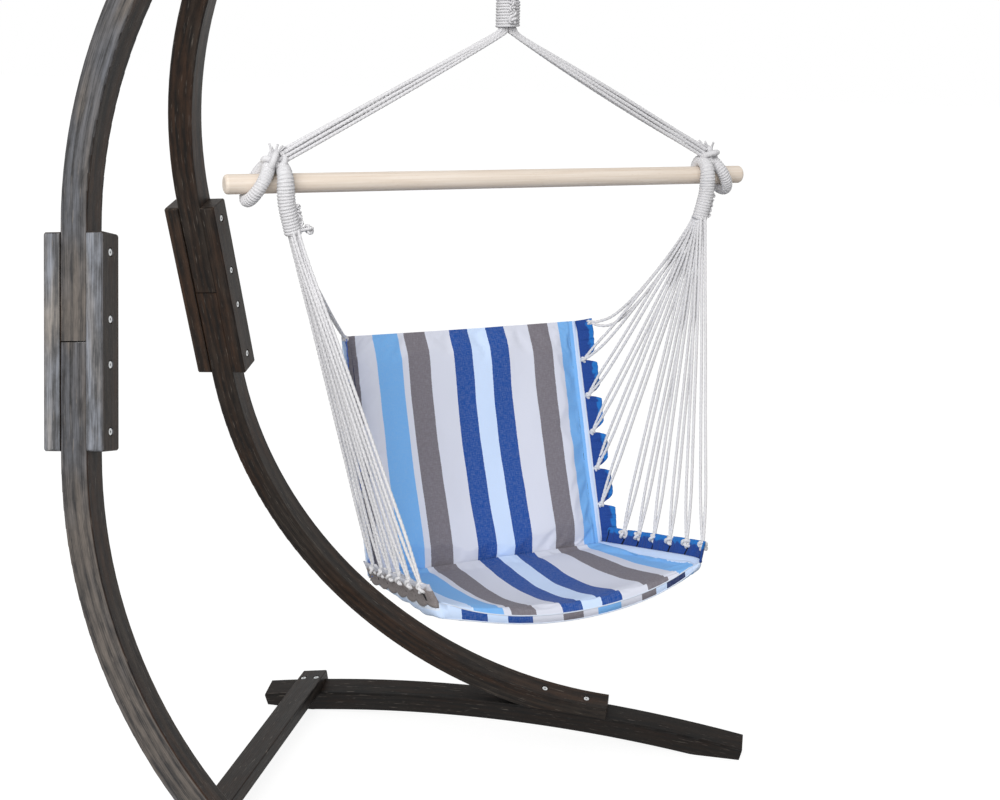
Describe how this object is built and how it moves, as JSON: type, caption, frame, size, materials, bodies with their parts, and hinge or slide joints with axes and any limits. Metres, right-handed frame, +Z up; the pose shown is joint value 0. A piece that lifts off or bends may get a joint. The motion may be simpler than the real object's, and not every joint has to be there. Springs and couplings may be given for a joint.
{
  "type": "hanging hammock chair on stand",
  "caption": "Hanging hammock chair with padded striped seat and back on cords under a spreader bar, hung by a rope loop from a free-standing bent-wood double-arc stand",
  "frame": {"origin": "on the floor, below the middle of the stand", "axes": "+X across the stand, +Y to the rear, +Z up"},
  "size_m": [1.1206, 1.2109, 2.1533],
  "materials": {
    "stained_wood": "dark stained laminated timber, semi-matt",
    "bare_wood": "sanded bare hardwood",
    "zinc_steel": "zinc-plated steel",
    "cotton_rope": "undyed twisted cotton",
    "striped_canvas": "woven striped cotton canvas",
    "hem_canvas": "woven cotton canvas"
  },
  "bodies": {
    "stand": {"crossbeam": "stained_wood", "crossbeam_bolts": "zinc_steel", "crossbeam_nuts": "zinc_steel", "eye_bolt": "zinc_steel", "eye_nut": "zinc_steel", "eye_washer": "zinc_steel", "foot_bolts": "zinc_steel", "foot_nuts": "zinc_steel", "lower_arc_left": "stained_wood", "lower_arc_right": "stained_wood", "runner_left": "stained_wood", "runner_right": "stained_wood", "splice_bolts": "zinc_steel", "splice_front_left": "stained_wood", "splice_front_right": "stained_wood", "splice_nuts": "zinc_steel", "splice_rear_left": "stained_wood", "splice_rear_right": "stained_wood", "tip_bolts": "zinc_steel", "tip_nuts": "zinc_steel", "upper_arc_left": "stained_wood", "upper_arc_right": "stained_wood"},
    "carabiner": {"carabiner": "zinc_steel", "gate_pin": "zinc_steel"},
    "gate": {"carabiner_gate": "zinc_steel"},
    "rope": {"neck_whipping": "cotton_rope", "rope_loop": "cotton_rope"},
    "chair": {"back_cushion": "striped_canvas", "back_hem_left": "hem_canvas", "back_hem_right": "hem_canvas", "bar_knot_left": "cotton_rope", "bar_knot_right": "cotton_rope", "bar_ring_left": "cotton_rope", "bar_ring_right": "cotton_rope", "leg_rope_left": "cotton_rope", "leg_rope_right": "cotton_rope", "leg_whipping_left": "cotton_rope", "leg_whipping_right": "cotton_rope", "seat_cushion": "striped_canvas", "seat_hem_left": "hem_canvas", "seat_hem_right": "hem_canvas", "side_cords_left": "cotton_rope", "side_cords_right": "cotton_rope", "spreader_bar": "bare_wood", "strands_left": "cotton_rope", "strands_right": "cotton_rope"}
  },
  "joints": [
    {"name": "swing", "type": "hinge", "parent": "stand", "child": "carabiner", "pos_m": [0, -0.12132, 2.05272], "axis": [1, 0, 0], "range_deg": [-15, 8]},
    {"name": "gate_open", "type": "hinge", "parent": "carabiner", "child": "gate", "pos_m": [0, -0.13832, 1.99802], "axis": [1, 0, 0], "range_deg": [-25, 0]},
    {"name": "sway", "type": "hinge", "parent": "carabiner", "child": "rope", "pos_m": [0, -0.12132, 1.97102], "axis": [0, 1, 0], "range_deg": [-8, 8]},
    {"name": "turn_on_rope", "type": "hinge", "parent": "rope", "child": "chair", "pos_m": [0, -0.12132, 1.577], "axis": [0, 0, 1], "range_deg": [-90, 90]}
  ]
}
